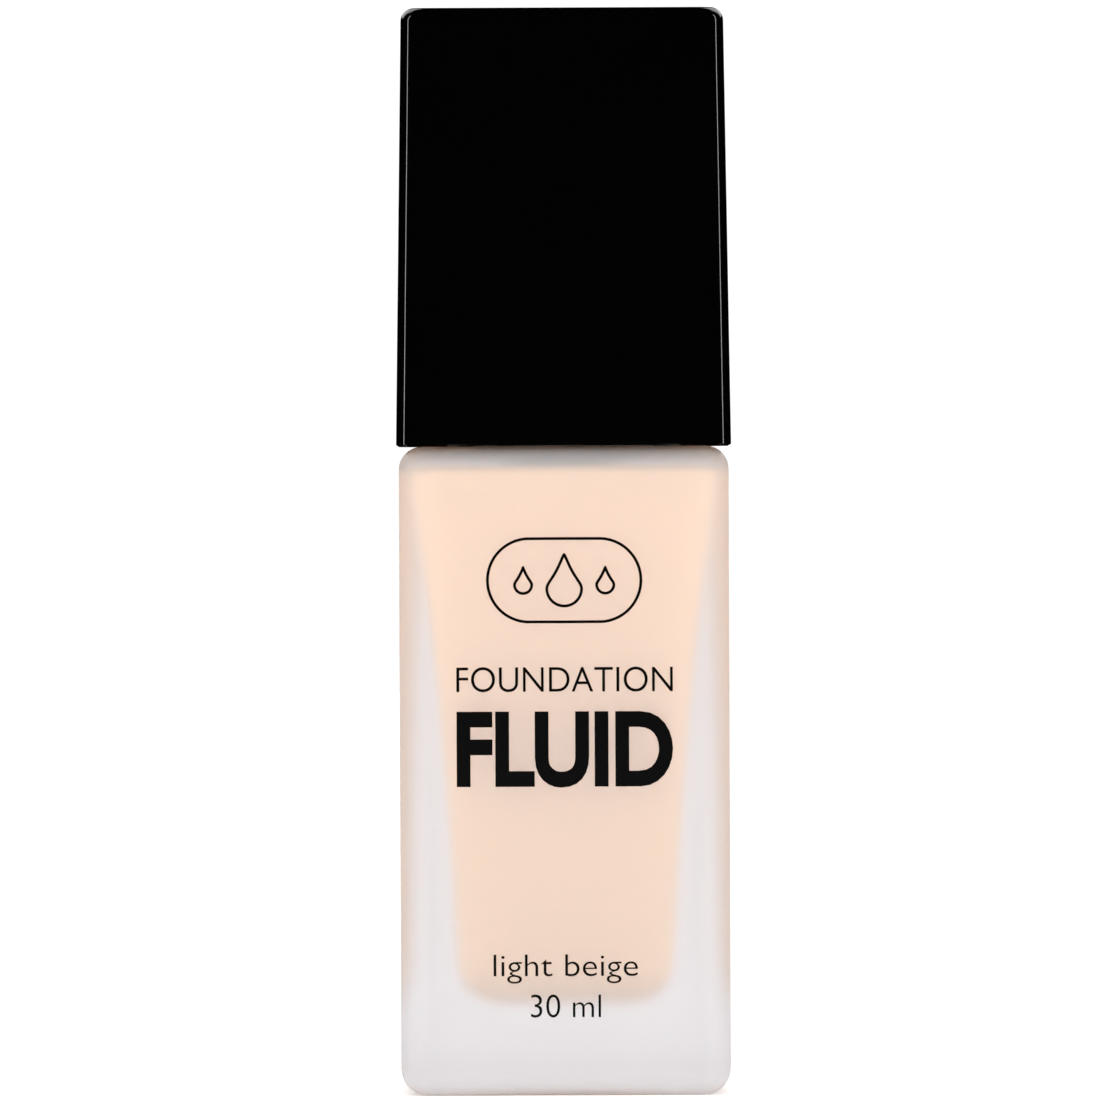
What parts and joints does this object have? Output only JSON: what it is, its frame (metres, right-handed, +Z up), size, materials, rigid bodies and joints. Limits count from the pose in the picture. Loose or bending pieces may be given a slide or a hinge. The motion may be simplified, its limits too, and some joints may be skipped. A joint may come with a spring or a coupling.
{
  "type": "foundation bottle",
  "caption": "Square frosted glass liquid foundation bottle with a thick base, a tapering chamber, a screw-on spring pump and a tall black square pull-off overcap.",
  "frame": {"origin": "middle of the face the bottle stands on", "axes": "+Z up along the bottle, -Y towards the printed front and the spout, +X to the right seen from the front"},
  "size_m": [0.0336, 0.0336, 0.1088],
  "materials": {
    "frosted_glass": "acid-etched outside, clear chamber wall",
    "foundation_liquid": "opaque light beige liquid",
    "label_film": "thin white printed film",
    "gasket_foam": "white closed-cell foam",
    "natural_plastic": "natural translucent polypropylene",
    "piston_rubber": "soft white polyethylene",
    "steel_ball": "polished",
    "spring_steel": "drawn wire",
    "satin_black_plastic": "satin moulded black",
    "gloss_black_plastic": "high-gloss moulded black",
    "black_aluminium": "gloss black anodised"
  },
  "bodies": {
    "bottle": {"bottle": "frosted_glass", "foundation_fill": "foundation_liquid", "base_label": "label_film"},
    "pump_body": {"neck_gasket": "gasket_foam", "pump_housing": "natural_plastic", "stem_guide": "satin_black_plastic", "dip_tube": "natural_plastic", "return_spring": "spring_steel"},
    "collar": {"screw_collar": "satin_black_plastic", "collar_sleeve": "black_aluminium"},
    "stem_unit": {"stem_tube": "natural_plastic", "stem_plug": "natural_plastic"},
    "piston": {"piston": "piston_rubber"},
    "head": {"head_button": "gloss_black_plastic", "nozzle_core": "satin_black_plastic"},
    "ball": {"ball_valve": "steel_ball"},
    "overcap": {"overcap_shell": "gloss_black_plastic", "overcap_liner": "satin_black_plastic"}
  },
  "joints": [
    {"name": "pump_rise", "type": "slide", "parent": "bottle", "child": "pump_body", "axis": [0, 0, 1], "range_m": [0, 0.00476]},
    {"name": "collar_turn", "type": "hinge", "parent": "pump_body", "child": "collar", "pos_m": [0, 0, 0.074], "axis": [0, 0, 1], "range_deg": [0, 540]},
    {"name": "actuator_press", "type": "slide", "parent": "pump_body", "child": "stem_unit", "axis": [0, 0, -1], "range_m": [0, 0.0042], "stiffness_N_per_m": 300, "springref_m": -0.002, "deforming": ["return_spring"]},
    {"name": "piston_slip", "type": "slide", "parent": "stem_unit", "child": "piston", "axis": [0, 0, 1], "range_m": [0, 0.0008]},
    {"name": "head_swivel", "type": "hinge", "parent": "stem_unit", "child": "head", "pos_m": [0, 0, 0.096], "axis": [0, 0, 1], "continuous": true},
    {"name": "ball_lift", "type": "slide", "parent": "pump_body", "child": "ball", "axis": [0, 0, 1], "range_m": [0, 0.0012]},
    {"name": "overcap_lift", "type": "slide", "parent": "pump_body", "child": "overcap", "axis": [0, 0, 1], "range_m": [0, 0.045]}
  ],
  "couplings": [
    {"joint": "collar_turn", "follows": "pump_rise", "rad_per_m": 1979},
    {"joint": "piston_slip", "follows": "actuator_press", "ratio": 0.19048}
  ]
}
